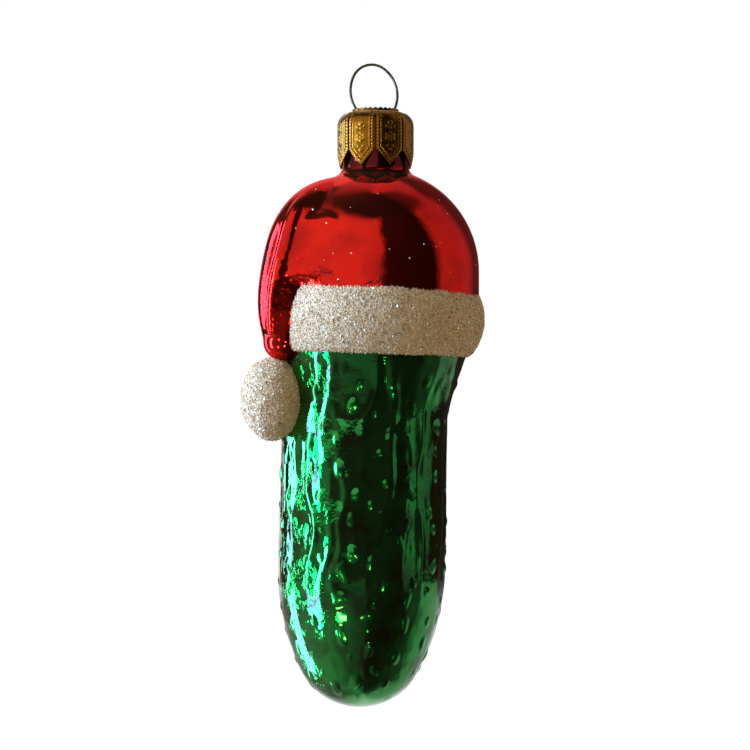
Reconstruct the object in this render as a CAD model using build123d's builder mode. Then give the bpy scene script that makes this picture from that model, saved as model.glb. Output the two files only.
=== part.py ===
from build123d import *

import os
from math import asin, atan2, cos, degrees, radians, sin, sqrt

# Blown-glass pickle ornament in a stocking hat, with a stamped crown cap and a spring-wire hanger.
#
# Z is up, X is to the right and the front faces -Y. The origin is on the neck's axis, where a hook
# bears under the top of the hanger loop, so the whole ornament hangs below it.

# Driving dimensions, in millimetres and degrees

# Hanger: one spring wire, an oval loop over the cap and two legs splayed inside the neck
WIRE_D = 0.45
LOOP_WIDTH = 7.9
LOOP_LENGTH = 9.8
LOOP_CROWN_R = 3.4
LOOP_LEAN = 15.0
LOOP_CLEAR = 7.5
LEG_REACH = 15.0
LEG_WAIST = 1.3
LEG_BEND_R = 2.0
LEG_CLEARANCE = 0.15

# Crown cap: thin sheet, a serrated collar round the wire hole and a skirt cut into petals
SHEET = 0.25
CAP_D = 13.1
CAP_HEIGHT = 9.9
HOLE_CLEARANCE = 0.12
COLLAR_WIDTH = 0.45
COLLAR_HEIGHT = 0.5
SERRATIONS = 28
SERRATION_WIDTH = 0.5
SERRATION_DEPTH = 0.24
PETALS = 8
PETAL_TOP = 1.7
PETAL_POINT = 2.5
PETAL_TIP_WIDTH = 0.3
SLIT_WIDTH = 0.32
SEAT_GAP = 0.15

# Blown glass: neck, round hat and pickle are one shell
WALL = 0.8
NECK_D = 11.0
NECK_LENGTH = 8.7
NECK_FILLET = 2.0
DOME_D = 35.2

# Moulded fur brim round the hat, lower on the right
BRIM_D = 36.8
BRIM_TOP_D = 34.6
BRIM_FOOT_D = 33.0
BRIM_HEIGHT = 11.2
BRIM_DROP = 8.25
BRIM_TILT = 3.4
BRIM_BULGE_RISE = 1.0

# Pickle, hanging a little to the left of the neck's axis
PICKLE_D = 28.4
PICKLE_LENGTH = 66.05
PICKLE_OFFSET = 1.6
PICKLE_TILT = 1.1
PICKLE_TIP_R = 11.3
PICKLE_TAPER = 23.5
PICKLE_FLARE_D = 33.0
PICKLE_FLARE_TOP = 3.5
PICKLE_FLARE_END = 14.5

# Warts moulded in staggered rows on the pickle
WART_COLUMNS = 8
WART_ROWS = 5
WART_PITCH = 8.4
WART_FIRST = 17.5
WART_TURN = 11.25
WART_BASE_D = (3.0, 3.8, 3.4)
WART_HEIGHT = 0.6
WART_STAGGER = 0.5
SLOPE_STEP = 0.1

# Folded hat tip: a tapering tube bent out of the hat that hangs down its front left
TAIL_TOP_D = 12.6
TAIL_END_D = 8.0
TAIL_BEND_GAP = 0.2
TAIL_BEND_ANGLE = 110.0
TAIL_FOLD_DROP = 15.2
TAIL_PROUD = 3.4
TAIL_OVER_BRIM = 2.9
TAIL_FOLD_ANGLE = 60.0
TAIL_TIP_ANGLE = 69.0
TAIL_POMPOM_LAP = 0.2

# Pompom on the front left of the pickle, below the tip of the tail
POMPOM_WIDTH = 9.8
POMPOM_HEIGHT = 13.4
POMPOM_END_R = 4.2
POMPOM_ANGLE = 64.0
POMPOM_STAND_OFF = 3.0
POMPOM_DROP = 13.35

# Coats on the glass
GLITTER = 0.5
LACQUER = 0.12
LACQUER_BELOW_LIP = 0.5

# Derived sizes and heights
WIRE_R = WIRE_D / 2
CAP_TOP_Z = -LOOP_CLEAR
CAP_R = CAP_D / 2
NECK_R = NECK_D / 2
DOME_R = DOME_D / 2
PICKLE_R = PICKLE_D / 2


def oval_side_radius(half_width, half_length, end_radius):
    """Radius of the two side arcs that join the end arcs of an oval without a corner."""
    rise = half_length - end_radius
    return (half_width**2 + rise**2 - end_radius**2) / (2 * (half_width - end_radius))


# The loop is an oval of four arcs that leans, so where it meets the cap's top follows
LOOP_LEAN_RAD = radians(LOOP_LEAN)
LOOP_SIDE_R = oval_side_radius(LOOP_WIDTH / 2, LOOP_LENGTH / 2, LOOP_CROWN_R)
LOOP_CROWN_RISE = LOOP_LENGTH / 2 - LOOP_CROWN_R
LOOP_SIDE_SHIFT = LOOP_SIDE_R - LOOP_WIDTH / 2
LOOP_JOIN_ANGLE = degrees(atan2(LOOP_CROWN_RISE, LOOP_SIDE_SHIFT))
LOOP_Z = WIRE_R - LOOP_CROWN_R - LOOP_CROWN_RISE * cos(LOOP_LEAN_RAD)
RIGHT_CENTRE_Z = LOOP_Z - LOOP_SIDE_SHIFT * sin(LOOP_LEAN_RAD)
LEFT_CENTRE_Z = LOOP_Z + LOOP_SIDE_SHIFT * sin(LOOP_LEAN_RAD)
RIGHT_END_ANGLE = degrees(asin((CAP_TOP_Z - RIGHT_CENTRE_Z) / LOOP_SIDE_R))
LEFT_END_ANGLE = degrees(asin((CAP_TOP_Z - LEFT_CENTRE_Z) / LOOP_SIDE_R))
RIGHT_REACH = LOOP_SIDE_R * cos(radians(RIGHT_END_ANGLE)) - LOOP_SIDE_SHIFT * cos(LOOP_LEAN_RAD)
LEFT_REACH = LOOP_SIDE_R * cos(radians(LEFT_END_ANGLE)) - LOOP_SIDE_SHIFT * cos(LOOP_LEAN_RAD)
LOOP_X = (LEFT_REACH - RIGHT_REACH) / 2
STEEPEST_END = max(abs(RIGHT_END_ANGLE), abs(LEFT_END_ANGLE))
WIRE_HALF_ACROSS = WIRE_R / cos(radians(STEEPEST_END))
HOLE_R = (LEFT_REACH + RIGHT_REACH) / 2 + WIRE_HALF_ACROSS + HOLE_CLEARANCE
COLLAR_R = HOLE_R + COLLAR_WIDTH
SHOULDER_R = CAP_R - COLLAR_R
SHOULDER_Z = CAP_TOP_Z - COLLAR_HEIGHT - SHOULDER_R

# The neck's lip seats inside the cap's round shoulder
LIP_RISE = sqrt((SHOULDER_R - SHEET) ** 2 - (NECK_R - COLLAR_R) ** 2)
LIP_Z = SHOULDER_Z + LIP_RISE - SEAT_GAP
LEG_TIP_R = NECK_R - WALL - LEG_CLEARANCE - WIRE_R
DOME_Z = LIP_Z - NECK_LENGTH - DOME_R
BRIM_Z = DOME_Z - BRIM_DROP

# The brim and the pickle are turned about leaning axes that cross the brim's middle
BRIM_ORIGIN = Vector(0, 0, BRIM_Z)
BRIM_UP = Vector(sin(radians(BRIM_TILT)), 0, cos(radians(BRIM_TILT)))
BRIM_PLANE = Plane(BRIM_ORIGIN, x_dir=(BRIM_UP.Z, 0, -BRIM_UP.X), z_dir=(0, -1, 0))
PICKLE_ORIGIN = Vector(-PICKLE_OFFSET, 0, BRIM_Z)
PICKLE_UP = Vector(sin(radians(PICKLE_TILT)), 0, cos(radians(PICKLE_TILT)))
PICKLE_PLANE = Plane(PICKLE_ORIGIN, x_dir=(PICKLE_UP.Z, 0, -PICKLE_UP.X), z_dir=(0, -1, 0))

# Centres of the pickle's profile arcs, as radius from its axis and height on it
TIP_CENTRE_H = PICKLE_TIP_R - PICKLE_LENGTH
SIDE_END_H = PICKLE_TAPER - PICKLE_LENGTH
SIDE_RISE = SIDE_END_H - TIP_CENTRE_H
SIDE_R = (PICKLE_R**2 + SIDE_RISE**2 - PICKLE_TIP_R**2) / (2 * (PICKLE_R - PICKLE_TIP_R))
SIDE_CENTRE = Vector(PICKLE_R - SIDE_R, SIDE_END_H)
TIP_TANGENT = Vector(0, TIP_CENTRE_H) - SIDE_CENTRE
FLARE_TOP = Vector(0, 0, BRIM_Z - PICKLE_FLARE_TOP)
FLARE_END = PICKLE_ORIGIN - PICKLE_UP * PICKLE_FLARE_END


def around(angle, radius, height):
    """A point at an angle from the front, turning to the left, about the neck's axis."""
    return Vector(-radius * sin(radians(angle)), -radius * cos(radians(angle)), height)


def pickle_radius(height):
    """Radius of the pickle at a height on its own axis, below its flare."""
    if height > SIDE_END_H:
        return PICKLE_R
    side = SIDE_CENTRE.X + sqrt(SIDE_R**2 - (height - SIDE_END_H) ** 2)
    if height > TIP_CENTRE_H + PICKLE_TIP_R * TIP_TANGENT.normalized().Y:
        return side
    return sqrt(PICKLE_TIP_R**2 - (height - TIP_CENTRE_H) ** 2)


def crown_form(grow, top_z):
    """Neck and round hat in one turned form, grown or shrunk by a coat or a wall."""
    fillet_x = NECK_R + NECK_FILLET
    fillet_z = DOME_Z + sqrt((DOME_R + NECK_FILLET) ** 2 - fillet_x**2)
    share = (DOME_R + grow) / (DOME_R + NECK_FILLET)
    meets_dome = (fillet_x * share, DOME_Z + (fillet_z - DOME_Z) * share)
    foot = (sqrt((DOME_R + grow) ** 2 - BRIM_DROP**2), BRIM_Z)
    with BuildPart() as crown:
        with BuildSketch(Plane.XZ):
            with BuildLine():
                neck = Line((NECK_R + grow, top_z), (NECK_R + grow, fillet_z))
                throat = TangentArc(neck @ 1, meets_dome, tangent=neck % 1)
                dome = TangentArc(throat @ 1, foot, tangent=throat % 1)
                Polyline(dome @ 1, (0, BRIM_Z), (0, top_z), neck @ 0)
            make_face()
        revolve(axis=Axis.Z)
    return crown.part


def pickle_form(grow):
    """The smooth pickle, turned about its own leaning axis, with a flare that runs up under the brim."""
    tip_r = PICKLE_TIP_R + grow
    tip_angle = degrees(atan2(TIP_TANGENT.Y, TIP_TANGENT.X))
    with BuildPart() as pickle:
        with BuildSketch(PICKLE_PLANE):
            with BuildLine():
                tip = CenterArc((0, TIP_CENTRE_H), tip_r, -90, tip_angle + 90)
                side = TangentArc(tip @ 1, (PICKLE_R + grow, SIDE_END_H), tangent=tip % 1)
                body = Line(side @ 1, (PICKLE_R + grow, -PICKLE_FLARE_END))
                Polyline(body @ 1, (0, -PICKLE_FLARE_END), tip @ 0)
            make_face()
        revolve(axis=Axis(PICKLE_ORIGIN, PICKLE_UP))
        with BuildSketch(Plane(FLARE_END, z_dir=PICKLE_UP)):
            Circle(PICKLE_R + grow)
        with BuildSketch(Plane(FLARE_TOP)):
            Circle(PICKLE_FLARE_D / 2 + grow)
        loft(ruled=True)
    return pickle.part


def brim_form(grow):
    """The moulded brim, a bulging band turned about its own leaning axis."""
    half = BRIM_HEIGHT / 2 + grow
    with BuildPart() as brim:
        with BuildSketch(BRIM_PLANE):
            with BuildLine():
                band = ThreePointArc(
                    (BRIM_FOOT_D / 2 + grow, -half),
                    (BRIM_D / 2 + grow, BRIM_BULGE_RISE),
                    (BRIM_TOP_D / 2 + grow, half),
                )
                Polyline(band @ 1, (0, half), (0, -half), band @ 0)
            make_face()
        revolve(axis=Axis(BRIM_ORIGIN, BRIM_UP))
    return brim.part


def pompom_centre():
    """Middle of the pompom, outside the pickle's skin on its front left."""
    axis_point = PICKLE_ORIGIN - PICKLE_UP * POMPOM_DROP
    return axis_point + around(POMPOM_ANGLE, PICKLE_R + POMPOM_STAND_OFF, 0)


def pompom_form(grow):
    """The pompom, an upright egg turned from an oval of arcs."""
    centre = pompom_centre()
    half_width = POMPOM_WIDTH / 2
    end_rise = POMPOM_HEIGHT / 2 - POMPOM_END_R
    side_shift = oval_side_radius(half_width, POMPOM_HEIGHT / 2, POMPOM_END_R) - half_width
    join = degrees(atan2(end_rise, side_shift))
    end_r = POMPOM_END_R + grow
    with BuildPart() as pompom:
        with BuildSketch(Plane(centre, x_dir=(1, 0, 0), z_dir=(0, -1, 0))):
            with BuildLine():
                foot = CenterArc((0, -end_rise), end_r, -90, 90 - join)
                top = CenterArc((0, end_rise), end_r, join, 90 - join)
                TangentArc(foot @ 1, top @ 0, tangent=foot % 1)
                Line(top @ 1, foot @ 0)
            make_face()
        revolve(axis=Axis(centre, (0, 0, 1)))
    return pompom.part


def tail_form(grow):
    """The folded tip of the hat: a bend out of the dome, a tapering run and a round end."""
    top_r = TAIL_TOP_D / 2
    end_r = TAIL_END_D / 2
    bend_r = top_r + TAIL_BEND_GAP
    dome_reach = sqrt(DOME_R**2 - (DOME_R - TAIL_FOLD_DROP) ** 2)
    fold_reach = dome_reach + TAIL_PROUD - top_r
    fold = around(TAIL_FOLD_ANGLE, fold_reach, DOME_Z + DOME_R - TAIL_FOLD_DROP)
    end_z = pompom_centre().Z + POMPOM_HEIGHT / 2 - TAIL_POMPOM_LAP + end_r
    end = around(TAIL_TIP_ANGLE, BRIM_D / 2 + TAIL_OVER_BRIM - end_r, end_z)
    length = (end - fold).length
    down = (end - fold).normalized()
    to_neck = around(TAIL_FOLD_ANGLE, -1, 0)
    inward = (to_neck - down * to_neck.dot(down)).normalized()
    hinge = inward.cross(down)
    with BuildPart() as tail:
        with BuildSketch(Plane(fold, x_dir=inward, z_dir=hinge)):
            with BuildLine():
                side = Polyline((0, 0), (top_r + grow, 0), (end_r + grow, length))
                tip = RadiusArc(side @ 1, (0, length + end_r + grow), -end_r - grow)
                Line(tip @ 1, side @ 0)
            make_face()
        revolve(axis=Axis(fold, down))
        with BuildSketch(Plane(fold, x_dir=inward, z_dir=down)):
            Circle(top_r + grow)
        revolve(axis=Axis(fold + inward * bend_r, hinge), revolution_arc=TAIL_BEND_ANGLE)
    return tail.part


def wart_places():
    """Centres and radii of the balls whose crowns stand out of the pickle as warts."""
    keep_off = POMPOM_WIDTH / 2 + GLITTER + max(WART_BASE_D)
    for row in range(WART_ROWS):
        height = -WART_FIRST - row * WART_PITCH
        skin = pickle_radius(height)
        rise = pickle_radius(height + SLOPE_STEP) - pickle_radius(height - SLOPE_STEP)
        lean = atan2(rise, 2 * SLOPE_STEP)
        for column in range(WART_COLUMNS):
            size = (row + 2 * column) % len(WART_BASE_D)
            base = WART_BASE_D[size] / 2
            ball = (base**2 + WART_HEIGHT**2) / (2 * WART_HEIGHT)
            sink = ball - WART_HEIGHT
            angle = WART_TURN + 360 / WART_COLUMNS * (column + WART_STAGGER * (row % 2))
            place = (
                PICKLE_ORIGIN
                + PICKLE_UP * (height + sink * sin(lean))
                + around(angle, skin - sink * cos(lean), 0)
            )
            if (place - pompom_centre()).length > keep_off:
                yield place, ball


# Blown glass with the moulded forms outside and one open hollow inside
with BuildPart() as smooth_glass:
    add(crown_form(0, LIP_Z))
    add(pickle_form(0))
    add(brim_form(0))
    add(tail_form(0))
    add(pompom_form(0))

with BuildPart() as glass_hollow:
    add(crown_form(-WALL, LIP_Z + WALL))
    add(pickle_form(-WALL))
    add(brim_form(-WALL))
    add(tail_form(-WALL))
    add(pompom_form(-WALL))

with BuildPart() as glass_body:
    add(smooth_glass.part)
    for wart_centre, wart_ball in wart_places():
        with Locations(wart_centre):
            Sphere(wart_ball)
    add(glass_hollow.part, mode=Mode.SUBTRACT)
glass_body.part.label = "glass_body"

# Glass glitter glued over the brim, open where the hat's tail lies on it
with BuildPart() as brim_glitter:
    add(brim_form(GLITTER))
    add(smooth_glass.part, mode=Mode.SUBTRACT)
    add(tail_form(LACQUER), mode=Mode.SUBTRACT)
brim_glitter.part.label = "brim_glitter"

# Glass glitter glued over the pompom
with BuildPart() as pompom_glitter:
    add(pompom_form(GLITTER))
    add(smooth_glass.part, mode=Mode.SUBTRACT)
    add(tail_form(LACQUER), mode=Mode.SUBTRACT)
pompom_glitter.part.label = "pompom_glitter"

# Red lacquer over the hat, its tail and the neck
with BuildPart() as hat_lacquer:
    add(crown_form(LACQUER, LIP_Z - LACQUER_BELOW_LIP))
    add(tail_form(LACQUER))
    add(smooth_glass.part, mode=Mode.SUBTRACT)
    add(brim_form(GLITTER), mode=Mode.SUBTRACT)
    add(pompom_form(GLITTER), mode=Mode.SUBTRACT)
hat_lacquer.part.label = "hat_lacquer"

# One gap between two petals: a slit that opens into a wide notch
SLIT_TOP_Z = CAP_TOP_Z - PETAL_TOP
NOTCH_TOP_Z = CAP_TOP_Z - CAP_HEIGHT + PETAL_POINT
TIP_Z = CAP_TOP_Z - CAP_HEIGHT
NOTCH_HALF = CAP_R * sin(radians(180 / PETALS)) - PETAL_TIP_WIDTH / 2
with BuildPart() as petal_gap:
    with BuildSketch(Plane.XZ):
        with BuildLine():
            Polyline(
                (0, SLIT_TOP_Z),
                (SLIT_WIDTH / 2, NOTCH_TOP_Z),
                (NOTCH_HALF, TIP_Z),
                (NOTCH_HALF, TIP_Z - SHEET),
                (-NOTCH_HALF, TIP_Z - SHEET),
                (-NOTCH_HALF, TIP_Z),
                (-SLIT_WIDTH / 2, NOTCH_TOP_Z),
                close=True,
            )
        make_face()
    extrude(amount=CAP_D)

# One groove of the collar's serrated edge
with BuildPart() as serration:
    with BuildSketch(Plane.XZ):
        with BuildLine():
            Polyline(
                (0, CAP_TOP_Z - SERRATION_DEPTH),
                (SERRATION_WIDTH / 2, CAP_TOP_Z),
                (SERRATION_WIDTH / 2, CAP_TOP_Z + SHEET),
                (-SERRATION_WIDTH / 2, CAP_TOP_Z + SHEET),
                (-SERRATION_WIDTH / 2, CAP_TOP_Z),
                close=True,
            )
        make_face()
    extrude(amount=CAP_D)

# Crown cap, turned from its sheet profile and then cut
with BuildPart() as cap:
    with BuildSketch(Plane.XZ):
        with BuildLine():
            rim = Polyline(
                (HOLE_R, SHOULDER_Z + SHOULDER_R - SHEET),
                (HOLE_R, CAP_TOP_Z),
                (COLLAR_R, CAP_TOP_Z),
                (COLLAR_R, SHOULDER_Z + SHOULDER_R),
            )
            shoulder = RadiusArc(rim @ 1, (CAP_R, SHOULDER_Z), SHOULDER_R)
            skirt = Polyline(
                shoulder @ 1,
                (CAP_R, TIP_Z),
                (CAP_R - SHEET, TIP_Z),
                (CAP_R - SHEET, SHOULDER_Z),
            )
            under_r = SHOULDER_R - SHEET
            under = RadiusArc(skirt @ 1, (COLLAR_R, SHOULDER_Z + under_r), -under_r)
            Line(under @ 1, rim @ 0)
        make_face()
    revolve(axis=Axis.Z)
    with PolarLocations(0, PETALS):
        add(petal_gap.part, mode=Mode.SUBTRACT)
    with PolarLocations(0, SERRATIONS):
        add(serration.part, mode=Mode.SUBTRACT)
cap.part.label = "cap"

# Hanger: the loop's oval runs on into a waist under the hole, then out to the neck's bore
with BuildPart() as hanger_wire:
    with BuildLine(Plane.XZ) as wire_path:
        right_centre = (LOOP_X - LOOP_SIDE_SHIFT * cos(LOOP_LEAN_RAD), RIGHT_CENTRE_Z)
        left_centre = (LOOP_X + LOOP_SIDE_SHIFT * cos(LOOP_LEAN_RAD), LEFT_CENTRE_Z)
        crown_centre = (LOOP_X - LOOP_CROWN_RISE * sin(LOOP_LEAN_RAD), WIRE_R - LOOP_CROWN_R)
        crown_start = LOOP_LEAN + LOOP_JOIN_ANGLE
        crown_end = LOOP_LEAN + 180 - LOOP_JOIN_ANGLE
        right = CenterArc(right_centre, LOOP_SIDE_R, RIGHT_END_ANGLE, crown_start - RIGHT_END_ANGLE)
        CenterArc(crown_centre, LOOP_CROWN_R, crown_start, crown_end - crown_start)
        left = CenterArc(left_centre, LOOP_SIDE_R, crown_end, 180 - LEFT_END_ANGLE - crown_end)
        for end, way, side in ((right @ 0, right % 0 * -1, 1), (left @ 1, left % 1, -1)):
            waist = end + way * (LEG_WAIST / abs(way.Z))
            leg_tip = (side * LEG_TIP_R, CAP_TOP_Z - LEG_REACH)
            FilletPolyline((end.X, end.Z), (waist.X, waist.Z), leg_tip, radius=LEG_BEND_R)
    path = wire_path.wire()
    with BuildSketch(Plane(path @ 0, z_dir=path % 0)):
        Circle(WIRE_R)
    sweep(path=path)
hanger_wire.part.label = "hanger_wire"

os.makedirs("parts", exist_ok=True)
for piece in (glass_body, hat_lacquer, brim_glitter, pompom_glitter, cap, hanger_wire):
    export_step(piece.part, f"parts/{piece.part.label}.step")
    solids = len(piece.part.solids())
    volume = round(piece.part.volume, 1)
    print(piece.part.label, "solids", solids, "volume", volume, piece.part.bounding_box().size)
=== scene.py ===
# %% [markdown]
# # A pickle ornament of blown glass
# The real object is one bubble of glass, silvered inside and lacquered outside: a green pickle in a
# red hat with glitter on its brim and pompom. A stamped gold cap and a spring wire close the neck.
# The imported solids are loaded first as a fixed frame, and each piece below is made around them.

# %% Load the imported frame
import math

import bpy
import numpy as np
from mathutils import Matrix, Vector, noise


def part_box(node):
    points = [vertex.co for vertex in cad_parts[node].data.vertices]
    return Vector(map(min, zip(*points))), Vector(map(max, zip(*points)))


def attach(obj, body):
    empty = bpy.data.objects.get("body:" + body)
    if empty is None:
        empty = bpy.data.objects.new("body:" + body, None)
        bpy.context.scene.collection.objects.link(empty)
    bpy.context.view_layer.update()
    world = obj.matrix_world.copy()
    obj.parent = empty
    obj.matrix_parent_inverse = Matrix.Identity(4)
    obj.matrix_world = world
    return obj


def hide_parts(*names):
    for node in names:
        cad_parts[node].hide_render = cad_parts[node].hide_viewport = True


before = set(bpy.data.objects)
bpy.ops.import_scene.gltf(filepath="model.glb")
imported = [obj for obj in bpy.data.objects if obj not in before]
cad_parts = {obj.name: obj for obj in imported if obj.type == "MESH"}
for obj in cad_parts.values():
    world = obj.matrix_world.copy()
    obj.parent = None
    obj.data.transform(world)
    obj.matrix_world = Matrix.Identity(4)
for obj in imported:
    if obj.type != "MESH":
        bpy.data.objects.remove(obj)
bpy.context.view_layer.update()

# Sizes of the ornament are plain millimetres below, and become metres where MM is put to them.
# The room and its lamps are in metres
MM = 0.001
print("frame nodes:", sorted(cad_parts))

# %% [markdown]
# ## Camera
# The photograph is taken level, from about a third of a metre, so the cap is seen a little from
# below. The lens follows from the width that the picture covers at the ornament's own distance.

# %% Camera
PICTURE_SIDE = 750
MM_PER_PIXEL = 0.1711
NECK_AXIS_PIXEL = 375.5
LOOP_TOP_PIXEL = 66
CAMERA_AWAY = 320 * MM
CLIP_START = 10 * MM
SENSOR = 36


def deselect():
    bpy.ops.object.select_all(action="DESELECT")


scene = bpy.context.scene
covered = PICTURE_SIDE * MM_PER_PIXEL * MM
aim_x = (PICTURE_SIDE / 2 - NECK_AXIS_PIXEL) * MM_PER_PIXEL * MM
aim_z = (LOOP_TOP_PIXEL - PICTURE_SIDE / 2) * MM_PER_PIXEL * MM
deselect()
bpy.ops.object.camera_add(location=(aim_x, -CAMERA_AWAY, aim_z), rotation=(math.pi / 2, 0, 0))
camera = bpy.context.object
camera.data.sensor_width = SENSOR
camera.data.lens = SENSOR * CAMERA_AWAY / covered
camera.data.clip_start = CLIP_START
scene.camera = camera
scene.view_settings.view_transform = "Standard"
print("picture covers", round(covered / MM, 1), "mm with a lens of", round(camera.data.lens, 1), "mm")

# %% [markdown]
# ## Colours and nodes
# Colours are written as they look on a screen and turned to linear light by one function. A second
# function adds one node with its settings, its plain values and its links, so that each material
# below reads as a list of what goes into it.

# %% Helpers for colours and nodes
def linear(colour):
    """Linear red, green, blue and alpha of a screen colour such as #A0B0C0, by the sRGB curve."""
    parts = [int(colour[place:place + 2], 16) / 255 for place in (1, 3, 5)]
    light = [part / 12.92 if part <= 0.04045 else ((part + 0.055) / 1.055) ** 2.4 for part in parts]
    return (*light, 1.0)


def fill_sockets(tree, node, values=None, links=None):
    """Fills a node's sockets with plain values and links."""
    for socket, value in (values or {}).items():
        node.inputs[socket].default_value = value
    for socket, source in (links or {}).items():
        tree.links.new(source, node.inputs[socket])


def add_node(tree, kind, values=None, links=None, **settings):
    """Adds a node with its settings, then fills its sockets."""
    node = tree.nodes.new(kind)
    for name, setting in settings.items():
        setattr(node, name, setting)
    fill_sockets(tree, node, values, links)
    return node


def set_stops(ramp, stops):
    """Gives a colour ramp its stops, each a position from 0 to 1 and a linear colour."""
    elements = ramp.color_ramp.elements
    while len(elements) < len(stops):
        elements.new(1.0)
    for element, (position, colour) in zip(elements, stops):
        element.position = position
        element.color = colour


def new_finish(name):
    """A new material, its node tree and its shader."""
    finish = bpy.data.materials.new(name)
    finish.use_nodes = True
    return finish, finish.node_tree, finish.node_tree.nodes["Principled BSDF"]


print("mid grey of the screen in linear light:", round(linear("#808080")[0], 3))

# %% [markdown]
# ## Stage
# A white world stands behind everything. The camera, mirrors and clear glass see it white, and as
# light it is only a weak, warm fill. The floor is pale paper far below. It neither lights the ornament
# nor shows in it, so that the room alone decides what the glass mirrors.

# %% White world
FILL_LIGHT = 0.38
FILL_TINT = "#FFE2BA"

world = bpy.data.worlds.new("white_room")
world.use_nodes = True
scene.world = world
sky = world.node_tree
rays = add_node(sky, "ShaderNodeLightPath")
seen = add_node(sky, "ShaderNodeMath", operation="MAXIMUM",
                links={0: rays.outputs["Is Camera Ray"], 1: rays.outputs["Is Glossy Ray"]})
seen_or_through = add_node(sky, "ShaderNodeMath", operation="MAXIMUM",
                           links={0: seen.outputs[0], 1: rays.outputs["Is Transmission Ray"]})
white = add_node(sky, "ShaderNodeBackground", values={"Color": (1, 1, 1, 1), "Strength": 1.0})
fill = sky.nodes["Background"]
fill_sockets(sky, fill, values={"Color": linear(FILL_TINT), "Strength": FILL_LIGHT})
either = add_node(sky, "ShaderNodeMixShader",
                  links={0: seen_or_through.outputs[0], 1: fill.outputs[0], 2: white.outputs[0]})
sky.links.new(either.outputs[0], sky.nodes["World Output"].inputs["Surface"])
print("white world with a fill of", FILL_LIGHT)

# %% Pale floor
FLOOR_DROP = 330 * MM
FLOOR_SIDE = 1600 * MM
PAPER_ROUGH = 0.9
PAPER_GLOW = 0.8

deselect()
bpy.ops.mesh.primitive_plane_add(size=FLOOR_SIDE, location=(0, 0, -FLOOR_DROP))
floor = bpy.context.object
floor.name = "pale_floor"
# Matt paper: an even ground, kept near white by a glow of its own
floor_finish, tree, shader = new_finish("pale_paper")
fill_sockets(tree, shader, values={"Base Color": linear("#F4F4F2"), "Roughness": PAPER_ROUGH,
                                   "Emission Color": (1, 1, 1, 1), "Emission Strength": PAPER_GLOW})
floor.data.materials.append(floor_finish)
floor.visible_glossy = False
floor.visible_diffuse = False
print("floor", round(FLOOR_DROP / MM), "mm below the hook")

# %% [markdown]
# ## Room
# Mirror glass shows the room more than itself, so the room matters. A large ball round the ornament
# is the room that the glass mirrors: lit walls at the left, dark things in front and to the right,
# and a dark ceiling. Furniture could be modelled, but ramps of light by turn and height are quick to
# match to what the glass shows. Only reflections see the ball.

# %% The room in the reflections
ROOM_R = 0.40
ROOM_Z = -0.05
ROOM_STEPS = 96
ROOM_RINGS = 48
# Light of the room by turn round the ornament: 0 is the camera's side, left is negative
ROOM_LOW = ((-180, 0.90), (-150, 0.25), (-115, 0.22), (-95, 0.42), (-60, 0.34), (-36, 0.20),
            (-15, 0.15), (4, 0.11), (14, 0.022), (60, 0.020), (88, 0.10), (104, 0.44), (150, 0.50),
            (165, 0.80), (180, 0.90))
ROOM_LEVEL = ((-180, 1.00), (-152, 0.95), (-147, 0.02), (-128, 0.02), (-97, 0.20), (-85, 0.30),
              (-66, 0.30), (-50, 0.22), (-36, 0.06), (-28, 0.030), (50, 0.026), (61, 0.03), (65, 0.32),
              (73, 0.32), (78, 0.03), (88, 0.03), (92, 0.24), (97, 0.22), (102, 0.012), (150, 0.015),
              (166, 0.02), (172, 0.60), (180, 1.00))
ROOM_HIGH = ((-180, 1.00), (-152, 0.90), (-142, 0.05), (-115, 0.10), (-97, 0.45), (-66, 0.80),
             (-15, 0.70), (5, 0.58), (12, 0.03), (66, 0.012), (76, 0.42), (120, 0.44),
             (138, 0.10), (162, 0.10), (172, 0.50), (180, 1.00))
ROOM_TOP = ((-180, 0.70), (-150, 0.50), (-110, 0.05), (-60, 0.03), (60, 0.015), (105, 0.16),
            (130, 0.50), (150, 0.50), (165, 0.60), (180, 0.70))
# Heights between which each band goes over to the next, as shares of the room's radius
BAND_EDGES = ((-0.34, -0.20), (-0.015, 0.025), (0.80, 0.88))
# How far the bands wander in x, y and z, and over what length, as shares of the radius
ROOM_WARP = (0.20, 0.20, 0.07)
ROOM_WARP_SIZE = 0.45

deselect()
bpy.ops.mesh.primitive_uv_sphere_add(segments=ROOM_STEPS, ring_count=ROOM_RINGS, radius=ROOM_R,
                                     location=(0, 0, ROOM_Z))
room = bpy.context.object
room.name = "room_in_reflections"
# Walls that are only light: the glass shows them as broad bright and dark fields
room_finish, walls, shader = new_finish("room_walls")
walls.nodes.remove(shader)
metres = add_node(walls, "ShaderNodeTexCoord").outputs["Object"]
place = add_node(walls, "ShaderNodeVectorMath", operation="SCALE", values={"Scale": 1 / ROOM_R},
                 links={0: metres}).outputs[0]
wander = add_node(walls, "ShaderNodeTexNoise", values={"Scale": 1 / ROOM_WARP_SIZE, "Detail": 2},
                  links={"Vector": place})
centred = add_node(walls, "ShaderNodeVectorMath", operation="SUBTRACT",
                   values={1: (0.5, 0.5, 0.5)}, links={0: wander.outputs["Color"]})
bent = add_node(walls, "ShaderNodeVectorMath", operation="MULTIPLY_ADD",
                values={1: ROOM_WARP}, links={0: centred.outputs[0], 2: place})
bent_parts = add_node(walls, "ShaderNodeSeparateXYZ", links={0: bent.outputs[0]})
front = add_node(walls, "ShaderNodeMath", operation="MULTIPLY", values={1: -1.0},
                 links={0: bent_parts.outputs["Y"]})
wall_turn = add_node(walls, "ShaderNodeMath", operation="ARCTAN2",
                     links={0: bent_parts.outputs["X"], 1: front.outputs[0]})
turn_share = add_node(walls, "ShaderNodeMapRange", links={"Value": wall_turn.outputs[0]},
                      values={"From Min": -math.pi, "From Max": math.pi})
bands = []
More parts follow.
